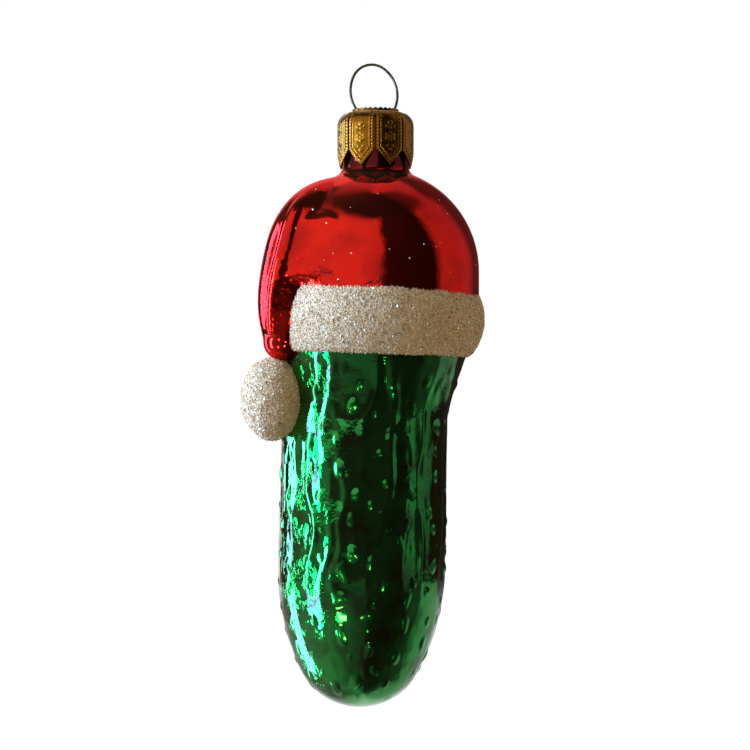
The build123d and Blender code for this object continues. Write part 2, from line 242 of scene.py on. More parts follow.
for stops in (ROOM_LOW, ROOM_LEVEL, ROOM_HIGH, ROOM_TOP):
    ramp = add_node(walls, "ShaderNodeValToRGB", links={"Fac": turn_share.outputs[0]})
    set_stops(ramp, [((degrees + 180) / 360, (light, light, light, 1)) for degrees, light in stops])
    bands.append(ramp.outputs["Color"])
lights = bands[0]
for above, (start, end) in zip(bands[1:], BAND_EDGES):
    blend = add_node(walls, "ShaderNodeMapRange", interpolation_type="SMOOTHSTEP",
                     values={"From Min": start, "From Max": end},
                     links={"Value": bent_parts.outputs["Z"]})
    lights = add_node(walls, "ShaderNodeMix", data_type="RGBA",
                      links={0: blend.outputs[0], 6: lights, 7: above}).outputs[2]
glow = add_node(walls, "ShaderNodeEmission", links={"Color": lights})
walls.links.new(glow.outputs[0], walls.nodes["Material Output"].inputs["Surface"])
room.data.materials.append(room_finish)
room.visible_camera = False
room.visible_diffuse = False
room.visible_transmission = False
room.visible_shadow = False
print("room of", ROOM_R, "m round the ornament, seen only in reflections")

# %% [markdown]
# ## Lamps
# The long highlights down the pickle's left side are a window. Two tall area lamps are its panes, seen
# only in reflections, so their turn sets where each highlight falls. A large soft lamp outside the
# room lights the glitter, and two small warm lamps low in front give the warts their glints.

# %% Window, soft light and glints
PANE_AWAY = 0.28
WINDOW_TINT = "#A0CCFF"
# Each pane from one turn to another, its foot, its top and how bright it is
PANES = {"window_pane_back": (-121, -104, -0.32, 0.12, 11),
         "window_pane_front": (-77, -65, -0.22, 0.03, 20)}
SOFT_LIGHT_TURN = -80
SOFT_LIGHT_AWAY = 0.9
SOFT_LIGHT_RISE = 0.20
SOFT_LIGHT_SIDE = 0.7
SOFT_LIGHT = 17.5
SOFT_TINT = "#C4DEFF"
GLINT_TURNS = (-27, 16)
GLINT_RISE = -0.22
GLINT_WIDTH = 0.04
GLINT_TALL = 0.03
GLINT_LIGHT = 20
GLINT_TINT = "#FFE2A8"


def hang_lamp(name, turn, away, rise, aim, width, tall, light, tint):
    """A lamp at a turn round the ornament that faces a height on its axis, with a face of some light."""
    angle = math.radians(turn)
    place = Vector((away * math.sin(angle), -away * math.cos(angle), rise))
    deselect()
    bpy.ops.object.light_add(type="AREA", location=place)
    lamp = bpy.context.object
    lamp.name = name
    lamp.rotation_euler = Vector((-place.x, -place.y, aim - rise)).to_track_quat("-Z", "Y").to_euler()
    lamp.data.shape = "RECTANGLE"
    lamp.data.size = width
    lamp.data.size_y = tall
    lamp.data.energy = light * math.pi * width * tall
    lamp.data.color = linear(tint)[:3]
    print(name, round(width, 2), "m wide")
    return lamp


for name, (start, end, foot, top, light) in PANES.items():
    width = 2 * PANE_AWAY * math.tan(math.radians(end - start) / 2)
    middle = (top + foot) / 2
    pane = hang_lamp(name, (start + end) / 2, PANE_AWAY, middle, middle, width, top - foot,
                     light, WINDOW_TINT)
    pane.visible_diffuse = False
soft_light = hang_lamp("soft_window_light", SOFT_LIGHT_TURN, SOFT_LIGHT_AWAY, SOFT_LIGHT_RISE, 0,
                       SOFT_LIGHT_SIDE, SOFT_LIGHT_SIDE, SOFT_LIGHT, SOFT_TINT)
soft_light.visible_glossy = False
for glint_turn in GLINT_TURNS:
    glint = hang_lamp("low_warm_lamp", glint_turn, PANE_AWAY, GLINT_RISE, GLINT_RISE,
                      GLINT_WIDTH, GLINT_TALL, GLINT_LIGHT, GLINT_TINT)
    glint.visible_diffuse = False

# %% [markdown]
# ## Green lacquer
# The inside of the bubble is silvered and the outside has a clear coloured lacquer. Light goes in
# through the colour, meets the silver and comes out again, so the colour lies in the reflection
# itself, and the lacquer's skin adds a second, white reflection. A metal shader in the lacquer's
# colour under a clear coat gives both. Fine crinkles in the lacquer break up the highlights, the
# colour is denser in soft clouds, and dust gives the edges a faint sheen.

# %% Green lacquer on silvered glass
CRINKLE_MM = 0.75
CRINKLE_LEAST = 0.2
PATCH_MM = 4.0
PATCH_SPAN = (0.42, 0.58)
WAVE_MM = 5.0
DENSE_SPAN = (0.45, 0.68)
MIRROR_ROUGH = (0.03, 0.09)
WART_SOFT = 0.18
SKIN_ROUGH = 0.03
DUST_ROUGH = 0.7
DUST_TINT = "#FFB478"


def silvered_lacquer(name, colour, dense_colour, crinkle_mm, crinkle_way, coat, sheen):
    """Lacquered mirror glass: a coloured mirror, a little uneven, under a clear skin.

    The crinkles grow along a way: its direction, and the start and end of the growth on it in mm.
    """
    finish, tree, shader = new_finish(name)
    place = add_node(tree, "ShaderNodeTexCoord").outputs["Object"]
    cloud = add_node(tree, "ShaderNodeTexNoise", values={"Scale": 1 / (WAVE_MM * MM), "Detail": 3},
                     links={"Vector": place})
    depth = add_node(tree, "ShaderNodeMapRange", links={"Value": cloud.outputs["Fac"]},
                     values={"From Min": DENSE_SPAN[0], "From Max": DENSE_SPAN[1]})
    tint = add_node(tree, "ShaderNodeMix", data_type="RGBA", links={0: depth.outputs[0]},
                    values={6: linear(colour), 7: linear(dense_colour)})
    fine = add_node(tree, "ShaderNodeTexNoise", values={"Scale": 1 / (CRINKLE_MM * MM), "Detail": 2},
                    links={"Vector": place})
    patch = add_node(tree, "ShaderNodeTexNoise", values={"Scale": 1 / (PATCH_MM * MM)},
                     links={"Vector": place})
    creased = add_node(tree, "ShaderNodeMapRange", links={"Value": patch.outputs["Fac"]},
                       values={"From Min": PATCH_SPAN[0], "From Max": PATCH_SPAN[1]})
    direction, start, end = crinkle_way
    along = add_node(tree, "ShaderNodeVectorMath", operation="DOT_PRODUCT", values={1: direction},
                     links={0: place})
    grown = add_node(tree, "ShaderNodeMapRange", links={"Value": along.outputs["Value"]},
                     values={"From Min": start * MM, "From Max": end * MM, "To Min": CRINKLE_LEAST})
    crinkled = add_node(tree, "ShaderNodeMath", operation="MULTIPLY",
                        links={0: creased.outputs[0], 1: grown.outputs[0]})
    crease = add_node(tree, "ShaderNodeMath", operation="MULTIPLY",
                      links={0: fine.outputs["Fac"], 1: crinkled.outputs[0]})
    bump = add_node(tree, "ShaderNodeBump", values={"Strength": 1.0, "Distance": crinkle_mm * MM},
                    links={"Height": crease.outputs[0]})
    gloss = add_node(tree, "ShaderNodeMapRange", links={"Value": fine.outputs["Fac"]},
                     values={"To Min": MIRROR_ROUGH[0], "To Max": MIRROR_ROUGH[1]})
    wart_mark = add_node(tree, "ShaderNodeAttribute", attribute_name="wart")
    soft = add_node(tree, "ShaderNodeMath", operation="MULTIPLY_ADD", values={1: WART_SOFT},
                    links={0: wart_mark.outputs["Fac"], 2: gloss.outputs[0]})
    fill_sockets(tree, shader,
                 values={"Metallic": 1.0, "Coat Weight": coat, "Coat Roughness": SKIN_ROUGH,
                         "Sheen Weight": sheen, "Sheen Roughness": DUST_ROUGH,
                         "Sheen Tint": linear(DUST_TINT)},
                 links={"Base Color": tint.outputs[2], "Roughness": soft.outputs[0],
                        "Normal": bump.outputs[0]})
    return finish


# A deep green mirror whose left side is crinkled, so the window there breaks into flakes of light
green_glass = silvered_lacquer("green_lacquer_on_silvered_glass", "#00A03C", "#005A1E",
                               crinkle_mm=0.21, crinkle_way=((-1, 0, 0), 6.0, 9.0),
                               coat=0.7, sheen=0.045)
print("made", green_glass.name)

# %% [markdown]
# ## Red lacquer
# The hat has the same silvering under a red lacquer, smooth on the dome and crinkled only low at the
# left, by the brim and on the folded tip. On the neck, under the cap, a dark red is mixed in by height as
# painted shade. Its glancing light is red too, or the edges would look pink.

# %% Red lacquer on silvered glass
RED = "#F01804"
NECK_FOOT = -19.0
NECK_FADE = 1.5

# A clear red mirror, nearly black where the room is dark
red_glass = silvered_lacquer("red_lacquer_on_silvered_glass", RED, "#CC1004",
                             crinkle_mm=0.10, crinkle_way=((-0.5, 0, -0.87), 31.0, 35.0),
                             coat=0.25, sheen=0.03)
tree = red_glass.node_tree
shader = tree.nodes["Principled BSDF"]
lacquer = shader.inputs["Base Color"].links[0].from_socket
# Painted shade: under the cap the neck is mixed to a dark red by height
place = add_node(tree, "ShaderNodeTexCoord").outputs["Object"]
spot = add_node(tree, "ShaderNodeSeparateXYZ", links={0: place})
on_neck = add_node(tree, "ShaderNodeMapRange", links={"Value": spot.outputs["Z"]},
                   values={"From Min": NECK_FOOT * MM, "From Max": (NECK_FOOT + NECK_FADE) * MM})
darker = add_node(tree, "ShaderNodeMix", data_type="RGBA", values={7: linear("#5A0A06")},
                  links={0: on_neck.outputs[0], 6: lacquer})
fill_sockets(tree, shader, values={"Specular Tint": linear(RED)}, links={"Base Color": darker.outputs[2]})
print("made", red_glass.name)

# %% [markdown]
# ## Pickle
# The pickle was blown into a mould: a long round body that opens towards the brim and ends in a blunt
# tip. A profile could be drawn and spun, but a ball already has closed poles, so a ball is added and
# its rings are moved to the pickle's outline. The hat, the brim and the pompom start in the same way.

# %% A ball turned into any round form
TINY = 1e-12


def points_of(piece):
    """The places of a mesh's points as rows of x, y and z."""
    places = np.empty(len(piece.data.vertices) * 3)
    piece.data.vertices.foreach_get("co", places)
    return places.reshape(-1, 3)


def move_points(piece, places):
    piece.data.vertices.foreach_set("co", np.asarray(places, dtype=np.float32).ravel())
    piece.data.update()


def count(piece):
    """Triangles that a piece makes."""
    return sum(len(face.vertices) - 2 for face in piece.data.polygons)


def arc(centre, radius, start, end, steps=40):
    """Points on an arc in the outline's plane, as radius from the axis and height."""
    angles = np.radians(np.linspace(start, end, steps))
    return [(centre[0] + radius * math.cos(a), centre[1] + radius * math.sin(a)) for a in angles]


def settle(piece):
    """Puts a new ball's faces in one fixed order, because they can come in another one each time."""
    faces = []
    for face in piece.data.polygons:
        corners = list(face.vertices)
        first = corners.index(min(corners))
        faces.append(corners[first:] + corners[:first])
    places = points_of(piece)
    piece.data.clear_geometry()
    piece.data.from_pydata(places.tolist(), [], sorted(faces))


def turned(name, outline, steps, rings):
    """A ball whose rings lie evenly along an outline of radius and height, from top to bottom.

    Returns the piece, and for each point its turn from the front to the left, its height and its
    outward direction.
    """
    deselect()
    bpy.ops.mesh.primitive_uv_sphere_add(segments=steps, ring_count=rings, radius=1)
    piece = bpy.context.object
    piece.name = name
    settle(piece)
    ball = points_of(piece)
    turn = np.arctan2(-ball[:, 0], -ball[:, 1])
    line = np.array(outline) * MM
    run = np.concatenate([[0], np.cumsum(np.hypot(*np.diff(line, axis=0).T))])
    here = np.arccos(np.clip(ball[:, 2], -1, 1)) / math.pi * run[-1]
    step = run[-1] / rings / 2
    radius = np.interp(here, run, line[:, 0])
    height = np.interp(here, run, line[:, 1])
    fall = np.interp(here + step, run, line[:, 1]) - np.interp(here - step, run, line[:, 1])
    spread = np.interp(here + step, run, line[:, 0]) - np.interp(here - step, run, line[:, 0])
    size = np.maximum(np.hypot(fall, spread), TINY)
    side, rise = -fall / size, spread / size
    places = np.stack([-radius * np.sin(turn), -radius * np.cos(turn), height], 1)
    outward = np.stack([-side * np.sin(turn), -side * np.cos(turn), rise], 1)
    move_points(piece, places)
    print(name, "turned:", count(piece), "triangles")
    return piece, turn, height, outward


# %% Outline of the pickle
BRIM_Z = -43.5
PICKLE_R = 14.2
PICKLE_LENGTH = 66.0
TIP_R = 11.3
TAPER = 23.5
FLARE = 2.3
FLARE_TOP = 3.5
FLARE_END = 16.5
FLARE_CURVE = 1.3
FLARE_STEPS = 30
PICKLE_STEPS = 380
PICKLE_RINGS = 256

tip_h = TIP_R - PICKLE_LENGTH
side_h = TAPER - PICKLE_LENGTH
side_r = (PICKLE_R**2 + (side_h - tip_h) ** 2 - TIP_R**2) / (2 * (PICKLE_R - TIP_R))
side_x = PICKLE_R - side_r
tip_turn = math.degrees(math.atan2(tip_h - side_h, -side_x))


def flared(drop):
    """How far the pickle has opened towards the brim at a drop below it, from 0 to 1."""
    return np.clip((FLARE_END - drop) / (FLARE_END - FLARE_TOP), 0, 1) ** FLARE_CURVE


flare_drops = np.linspace(FLARE_TOP, FLARE_END, FLARE_STEPS)
pickle_outline = ([(0, 0), (PICKLE_R + FLARE, 0)]
                  + [(PICKLE_R + FLARE * flared(drop), -drop) for drop in flare_drops]
                  + arc((side_x, side_h), side_r, 0, tip_turn)
                  + arc((0, tip_h), TIP_R, tip_turn, -90))
pickle, turn, height, outward = turned("pickle", pickle_outline, PICKLE_STEPS, PICKLE_RINGS)

# %% [markdown]
# ## Ridges and warts
# The mould left wavering upright ridges with fine furrows between them, and rows of warts. Bump in the
# material would not break the outline, so each point is pushed out along its own normal by the height
# there: stretched noise for the furrows, bell curves for the ridges and half eggs for the warts.
# Pushing points is like sculpting, but with one seed it comes out the same each time.

# %% Furrows and ridges
RIDGES = 26
RIDGE_JITTER = 0.25
RIDGE_WIDTH = (0.45, 0.9)
RIDGE_HEIGHT = (0.08, 0.28)
RIDGE_MEAN = 0.65
RIDGE_SWELL = 0.35
RIDGE_SWELL_MM = 9
RIDGE_END = 52.0
RIDGE_FADE = 14.0
RIDGE_LEAST = 0.15
WAVER = 0.06
LONG_WAVE_MM = (4, 8)
SHORT_WAVE_MM = (1.5, 2.5)
PHASE = (0, 6)
FURROW_MM = 1.7
FURROW_LENGTH = 12.0
FURROW_DEPTH = 0.09
DIMPLE_MM = 2.2
DIMPLE = 0.05
SEED = 24

draw = np.random.default_rng(SEED)
noise.seed_set(SEED)


def around_gap(turn, other):
    """Smallest turn between two directions, in radians."""
    return (turn - other + math.pi) % (2 * math.pi) - math.pi


def lumps_at(places, size_mm):
    """Soft lumps of a size at places, between -1 and 1."""
    return np.array([noise.noise(Vector(place) / (size_mm * MM)) for place in places])


drop = -height / MM
stretched = np.stack([np.cos(turn) * PICKLE_R / FURROW_MM, np.sin(turn) * PICKLE_R / FURROW_MM,
                      drop / FURROW_LENGTH], 1)
relief = FURROW_DEPTH * np.array([noise.noise(Vector(place)) for place in stretched])
for ridge in range(RIDGES):
    middle = 2 * math.pi * (ridge + draw.uniform(-RIDGE_JITTER, RIDGE_JITTER)) / RIDGES
    width = draw.uniform(*RIDGE_WIDTH)
    tall = draw.uniform(*RIDGE_HEIGHT)
    waver = WAVER * np.sin(drop / draw.uniform(*LONG_WAVE_MM) + draw.uniform(*PHASE))
    waver += WAVER / 2 * np.sin(drop / draw.uniform(*SHORT_WAVE_MM) + draw.uniform(*PHASE))
    gap = around_gap(turn, middle + waver) * PICKLE_R
    swell = RIDGE_MEAN + RIDGE_SWELL * np.sin(drop / RIDGE_SWELL_MM + draw.uniform(*PHASE))
    relief += tall * np.exp(-(gap / width) ** 2) * swell
relief *= np.clip((RIDGE_END - drop) / RIDGE_FADE, RIDGE_LEAST, 1)
relief += DIMPLE * lumps_at(points_of(pickle), DIMPLE_MM)
print(RIDGES, "ridges, up to", round(float(relief.max()), 2), "mm high")

# %% Warts
WART_COLUMNS = 16
WART_PITCH = 4.6
WART_JITTER = 0.34
WART_ROW_JITTER = 0.3
WART_WIDTH = (0.45, 1.15)
WART_STRETCH = (1.1, 1.8)
WART_HEIGHT = (0.22, 0.36)
WART_ROUND = 1.3
WART_TOP = 10.0
WARP_MM = 3.0
WARP = 0.9
LEAST_REACH = 1.0

reach = np.interp(drop, [-p[1] for p in pickle_outline], [p[0] for p in pickle_outline])
reach = np.maximum(reach, LEAST_REACH)
warp = np.array([noise.noise_vector(Vector(place) / (WARP_MM * MM)) for place in points_of(pickle)])
shifted_turn = turn + WARP * warp[:, 0] / reach
shifted_drop = drop + WARP * warp[:, 1]
wart = np.zeros(len(drop))
wart_rows = int((PICKLE_LENGTH - WART_TOP) / WART_PITCH)
for column in range(WART_COLUMNS):
    for row in range(wart_rows):
        jitter = draw.uniform(-WART_JITTER, WART_JITTER)
        middle = 2 * math.pi * (column + 0.5 + jitter) / WART_COLUMNS
        jitter = draw.uniform(-WART_ROW_JITTER, WART_ROW_JITTER)
        low = WART_TOP + WART_PITCH * (row + 0.5 * (column % 2) + jitter)
        width = draw.uniform(*WART_WIDTH)
        across = around_gap(shifted_turn, middle) * reach / width
        along = (shifted_drop - low) / (width * draw.uniform(*WART_STRETCH))
        tall = draw.uniform(*WART_HEIGHT) * width / WART_WIDTH[1]
        swell = np.clip(1 - across**2 - along**2, 0, None)
        relief += tall * swell**WART_ROUND
        wart = np.maximum(wart, np.minimum(2 * swell, 1))
print(WART_COLUMNS * wart_rows, "warts")

# %% Relief pushed out, and the pickle hung under the brim
PICKLE_LEFT = 1.6
PICKLE_LEAN = 1.1
RELIEF_FADE = 5.0
RELIEF_END = 65.5
UNEVEN_MM = 9
UNEVEN = 0.10


def pick(piece):
    """Selects one piece alone and makes it the active one."""
    deselect()
    piece.select_set(True)
    bpy.context.view_layer.objects.active = piece


def smooth(piece):
    pick(piece)
    bpy.ops.object.shade_smooth()


def mark_points(piece, name, values):
    """Stores one number for each point of a piece, which a material or modifier can read."""
    mark = piece.data.attributes.new(name, "FLOAT", "POINT")
    mark.data.foreach_set("value", np.asarray(values, dtype=np.float32))


def lean(places, pivot, degrees):
    """Turns places about the y axis through a pivot, the right side down."""
    angle = math.radians(degrees)
    x, z = places[:, 0] - pivot[0], places[:, 2] - pivot[2]
    return np.stack([pivot[0] + x * math.cos(angle) + z * math.sin(angle), places[:, 1],
                     pivot[2] - x * math.sin(angle) + z * math.cos(angle)], 1)


end_fade = np.clip((RELIEF_END - drop) / RELIEF_FADE, 0, 1)
relief *= end_fade
relief *= np.clip((drop - FLARE_TOP) / RELIEF_FADE, 0, 1)
relief += UNEVEN * lumps_at(points_of(pickle), UNEVEN_MM) * end_fade
places = points_of(pickle) + outward * (relief * MM)[:, None]
places[:, 0] += PICKLE_LEFT * flared(drop) * MM
hang = np.array([-PICKLE_LEFT, 0, BRIM_Z]) * MM
move_points(pickle, lean(places + hang, hang, PICKLE_LEAN))
smooth(pickle)
mark_points(pickle, "wart", wart)
pickle.data.materials.append(green_glass)
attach(pickle, "glass")
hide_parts("glass_body")
print("pickle with", RIDGES, "ridges, relief up to", round(float(relief.max()), 2), "mm")

# %% [markdown]
# ## Hat
# Neck and dome are one round skin of glass, so they are turned in one outline, with a fillet where the
# neck grows out of the dome. Below its widest ring the dome goes straight down into the brim.

# %% Dome and neck
DOME_R = 17.6
DOME_Z = -35.25
NECK_R = 5.5
NECK_FILLET = 2.0
LACQUER = 0.12
HAT_STEPS = 256
HAT_RINGS = 200
lip_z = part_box("glass_body")[1].z / MM

skin = DOME_R + LACQUER
fillet_x = NECK_R + NECK_FILLET
fillet_z = DOME_Z + math.sqrt((DOME_R + NECK_FILLET) ** 2 - fillet_x**2)
fillet_turn = math.degrees(math.atan2(fillet_z - DOME_Z, fillet_x))
hat_outline = ([(0, lip_z), (NECK_R + LACQUER, lip_z)]
               + arc((fillet_x, fillet_z), NECK_FILLET - LACQUER, 180, 180 + fillet_turn)
               + arc((0, DOME_Z), skin, fillet_turn, 0)
               + [(skin, BRIM_Z), (0, BRIM_Z)])
hat = turned("hat", hat_outline, HAT_STEPS, HAT_RINGS)[0]

# %% [markdown]
# ## Folded tip
# The hat's tip lies folded down the left side as a thick, tapering roll with a crest on it, and it
# flows into the dome. A curve with a thickness at each point makes such a roll from a few points, and
# a bent sheet fills the valley beside it. A voxel remesh then welds all of it to the dome, and a few
# rounds of smoothing round off the creases as the hot glass did.

# %% Folded tip and its crest
# Each point of the tip: turn to the left of the front in degrees, reach from the neck's axis,
# height, and thickness
TIP_POINTS = [
    (60, 4.0, -22.8, 4.0),
    (60, 9.0, -24.6, 5.6),
    (60, 13.0, -28.0, 6.1),
    (60.5, 14.8, -33.0, 5.9),
    (62.8, 16.2, -39.0, 5.5),
    (63.9, 16.8, -44.0, 4.8),
    (64.6, 17.3, -47.3, 3.2),
]
# The crest that the fold left on the tip, as a thinner rod of glass along it
CREST_POINTS = [
    (54, 12.5, -22.3, 1.0),
    (52, 15.7, -24.3, 1.3),
    (51, 17.7, -27.2, 1.5),
    (51.5, 19.0, -33.0, 1.6),
    (55.2, 19.9, -37.5, 1.6),
    (57, 20.0, -42.5, 1.5),
    (59.3, 19.6, -46.0, 1.2),
]
ROD_ORDER = 4
ROD_ROUND = 12
ROD_STEPS = 24


def at_turn(degrees, reach, height):
    """A place at a turn to the left of the front, a reach from the neck's axis and a height."""
    angle = math.radians(degrees)
    return Vector((-reach * math.sin(angle), -reach * math.cos(angle), height)) * MM


def rod(points):
    """A smooth rod through points of turn, reach, height and thickness, as a mesh."""
    deselect()
    bpy.ops.curve.primitive_nurbs_path_add()
    curve = bpy.context.object
    path = curve.data.splines[0]
    path.points.add(len(points) - len(path.points))
    for point, (degrees, reach_mm, height_mm, thick) in zip(path.points, points):
        point.co = (*at_turn(degrees, reach_mm, height_mm), 1)
        point.radius = thick
    path.order_u = ROD_ORDER
    path.use_endpoint_u = True
    curve.data.bevel_depth = MM
    curve.data.bevel_resolution = ROD_ROUND
    curve.data.resolution_u = ROD_STEPS
    curve.data.use_fill_caps = True
    bpy.ops.object.convert(target="MESH")
    return bpy.context.object


tip = rod(TIP_POINTS)
crest = rod(CREST_POINTS)
print("tip and crest:", count(tip), "and", count(crest), "triangles")

# %% Valley between the tip and the dome
# The glass that runs over from the tip to the dome at the front: a sheet from the tip's front to
# where it meets the dome without a crease
VALLEY_TOP = -25.5
VALLEY_FOOT = -37.2
VALLEY_TURN = 6.0
VALLEY_THICK = 2.6
VALLEY_ACROSS = 12
VALLEY_ALONG = 32


def finish_with(piece, kind, **settings):
    """Adds a modifier with its settings and applies it."""
    pick(piece)
    step = piece.modifiers.new(kind.lower(), kind)
    for name, setting in settings.items():
        setattr(step, name, setting)
    bpy.ops.object.modifier_apply(modifier=step.name)


deselect()
bpy.ops.mesh.primitive_grid_add(x_subdivisions=VALLEY_ACROSS, y_subdivisions=VALLEY_ALONG, size=1)
valley = bpy.context.object
flat = points_of(valley)
levels = (VALLEY_TOP + VALLEY_FOOT) / 2 + flat[:, 1] * (VALLEY_TOP - VALLEY_FOOT)
tip_line = np.array(TIP_POINTS)[::-1]
tip_angle = np.radians(np.interp(levels, tip_line[:, 2], tip_line[:, 0]))
tip_reach = np.interp(levels, tip_line[:, 2], tip_line[:, 1])
tip_thick = np.interp(levels, tip_line[:, 2], tip_line[:, 3])
near_x = tip_reach * np.sin(tip_angle) + tip_thick * math.sin(math.radians(VALLEY_TURN))
near_y = tip_reach * np.cos(tip_angle) + tip_thick * math.cos(math.radians(VALLEY_TURN))
round_r = np.sqrt(skin**2 - (levels - DOME_Z) ** 2)
near_r = np.maximum(np.hypot(near_x, near_y), round_r)
far_turn = np.arctan2(near_x, near_y) - np.arccos(round_r / near_r)
share = flat[:, 0] + 0.5
inset = VALLEY_THICK / 2
across_x = near_x * (1 - share) + round_r * np.sin(far_turn) * share - inset * np.sin(far_turn)
across_y = near_y * (1 - share) + round_r * np.cos(far_turn) * share - inset * np.cos(far_turn)
move_points(valley, np.stack([-across_x, -across_y, levels], 1) * MM)
finish_with(valley, "SOLIDIFY", thickness=VALLEY_THICK * MM, offset=0)
print("valley:", count(valley), "triangles")

# %% Round end, and the weld
BALL_STEPS = 48
BALL_RINGS = 32
WELD_VOXEL = 0.30
WELD_ROUNDS = 16
SOFTEN = 0.5


def join_all(pieces):
    """Joins pieces into the first of them, with its place in its mesh."""
    deselect()
    for piece in pieces:
        piece.select_set(True)
    bpy.context.view_layer.objects.active = pieces[0]
    bpy.ops.object.join()
    bpy.ops.object.transform_apply(location=True, rotation=True, scale=True)
    return bpy.context.object


deselect()
bpy.ops.mesh.primitive_uv_sphere_add(segments=BALL_STEPS, ring_count=BALL_RINGS,
                                     radius=TIP_POINTS[-1][3] * MM,
                                     location=at_turn(*TIP_POINTS[-1][:3]))
end_ball = bpy.context.object
hat = join_all([hat, tip, crest, valley, end_ball])
finish_with(hat, "REMESH", mode="VOXEL", voxel_size=WELD_VOXEL * MM, use_smooth_shade=True)
finish_with(hat, "SMOOTH", factor=SOFTEN, iterations=WELD_ROUNDS)
print("hat welded:", count(hat), "triangles")

# %% [markdown]
# ## Open neck
# The bubble is open at the neck, and with the cap pulled off its bare silvering shows inside. Faces at
# the lip could be inset and pushed in, but the weld leaves no ring of edges there, so a boolean cut
# with a cylinder makes the bore. Its faces, found by their distance from the axis, get the silver.

# %% Open neck
BORE_R = 4.7
BORE_DEPTH = 9.5
BORE_STEPS = 96
BORE_SLACK = 0.02
FLOOR_SLACK = 0.1
STAIN_MM = 1.5
SILVER_ROUGH = (0.12, 0.35)
LIP_ANGLE = 40

deselect()
bpy.ops.mesh.primitive_cylinder_add(vertices=BORE_STEPS, radius=BORE_R * MM,
                                    depth=2 * BORE_DEPTH * MM, location=(0, 0, lip_z * MM))
bore = bpy.context.object
finish_with(hat, "BOOLEAN", operation="DIFFERENCE", solver="EXACT", object=bore)
bpy.data.objects.remove(bore)
# A film of silver on the inside, grey and stained, without the colour of the lacquer
silvering, tree, shader = new_finish("silvering_inside_the_glass")
stain = add_node(tree, "ShaderNodeTexNoise", values={"Scale": 1 / (STAIN_MM * MM)},
                 links={"Vector": add_node(tree, "ShaderNodeTexCoord").outputs["Object"]})
dullness = add_node(tree, "ShaderNodeMapRange", links={"Value": stain.outputs["Fac"]},
                    values={"To Min": SILVER_ROUGH[0], "To Max": SILVER_ROUGH[1]})
fill_sockets(tree, shader, values={"Metallic": 1.0, "Base Color": linear("#C9CBCC")},
             links={"Roughness": dullness.outputs[0]})
hat.data.materials.clear()
hat.data.materials.append(red_glass)
hat.data.materials.append(silvering)
bore_reach = (BORE_R + BORE_SLACK) * MM
bore_floor = (lip_z - BORE_DEPTH - FLOOR_SLACK) * MM
for face in hat.data.polygons:
    in_bore = math.hypot(face.center.x, face.center.y) < bore_reach and face.center.z > bore_floor
    face.material_index = 1 if in_bore else 0
smooth(hat)
bpy.ops.object.shade_smooth_by_angle(angle=math.radians(LIP_ANGLE))
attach(hat, "glass")
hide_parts("hat_lacquer")
print("neck bored to", BORE_DEPTH, "mm,", count(hat), "triangles")

# %% [markdown]
# ## Glitter
# Brim and pompom are brushed with glue and rolled in crushed glass. Each chip is a real small piece
# here: one chip is modelled, and a geometry nodes modifier strews copies of it over a lumpy bed of
# glue, each turned at random with a number of its own for its colour. Bump alone would look like
# sandpaper, because it has no facets that flash.

# %% Glue
GRAIN_MM = 0.30
GLUE_MM = 0.8
GLUE_ROUGH = 0.7
GLUE_BUMP = 0.6
GLUE_BUMP_MM = 0.1

# Dried glue with fine dust of glass in it: a matt, warm grey ground between the chips
glue, tree, shader = new_finish("white_craft_glue")
place = add_node(tree, "ShaderNodeTexCoord").outputs["Object"]
grit = add_node(tree, "ShaderNodeTexNoise", values={"Scale": 1 / (GLUE_MM * MM), "Detail": 4},
                links={"Vector": place})
rough = add_node(tree, "ShaderNodeBump", links={"Height": grit.outputs["Fac"]},
                 values={"Strength": GLUE_BUMP, "Distance": GLUE_BUMP_MM * MM})
dust = add_node(tree, "ShaderNodeTexNoise", values={"Scale": 1 / (GRAIN_MM * MM)},
                links={"Vector": place})
greys = add_node(tree, "ShaderNodeValToRGB", links={"Fac": dust.outputs["Fac"]})
set_stops(greys, [(0.38, linear("#B5A68E")), (0.56, linear("#DED4C0"))])
fill_sockets(tree, shader, values={"Roughness": GLUE_ROUGH},
             links={"Base Color": greys.outputs["Color"], "Normal": rough.outputs[0]})
print("made", glue.name)

# %% One chip of glitter
# Share of the chips from which each colour is used, the silvered ones last
CHIP_COLOURS = ((0.0, "#ECDDC2"), (0.35, "#DCC9A8"), (0.6, "#C8B18C"), (0.85, "#AE956E"),
                (0.95, "#F8F6F0"))
SILVERED_FROM = (0.94, 0.95)
CHIP_ROUGH = 0.22
CHIP_FOOT = 0.6
CHIP_TOP = 0.3
CHIP_TALL = 0.7

# Crushed glass: cream chips with a soft gloss, and a few silvered ones that flash white
glitter, tree, shader = new_finish("crushed_glass_glitter")
number = add_node(tree, "ShaderNodeAttribute", attribute_name="chip")
colours = add_node(tree, "ShaderNodeValToRGB", links={"Fac": number.outputs["Fac"]})
colours.color_ramp.interpolation = "CONSTANT"
set_stops(colours, [(position, linear(colour)) for position, colour in CHIP_COLOURS])
mirror = add_node(tree, "ShaderNodeMapRange", links={"Value": number.outputs["Fac"]},
                  values={"From Min": SILVERED_FROM[0], "From Max": SILVERED_FROM[1]})
fill_sockets(tree, shader, values={"Roughness": CHIP_ROUGH},
             links={"Base Color": colours.outputs["Color"], "Metallic": mirror.outputs[0]})

deselect()
bpy.ops.mesh.primitive_cone_add(vertices=3, radius1=GRAIN_MM * CHIP_FOOT * MM,
                                radius2=GRAIN_MM * CHIP_TOP * MM, depth=GRAIN_MM * CHIP_TALL * MM)
chip = bpy.context.object
chip.name = "glitter_chip"
chip.data.materials.append(glitter)
print("one chip:", count(chip), "triangles")

# %% Strewing chips over a bed of glue
CHIP_SIZES = (0.65, 1.25)
CHIPS_PER_MM2 = 13.0


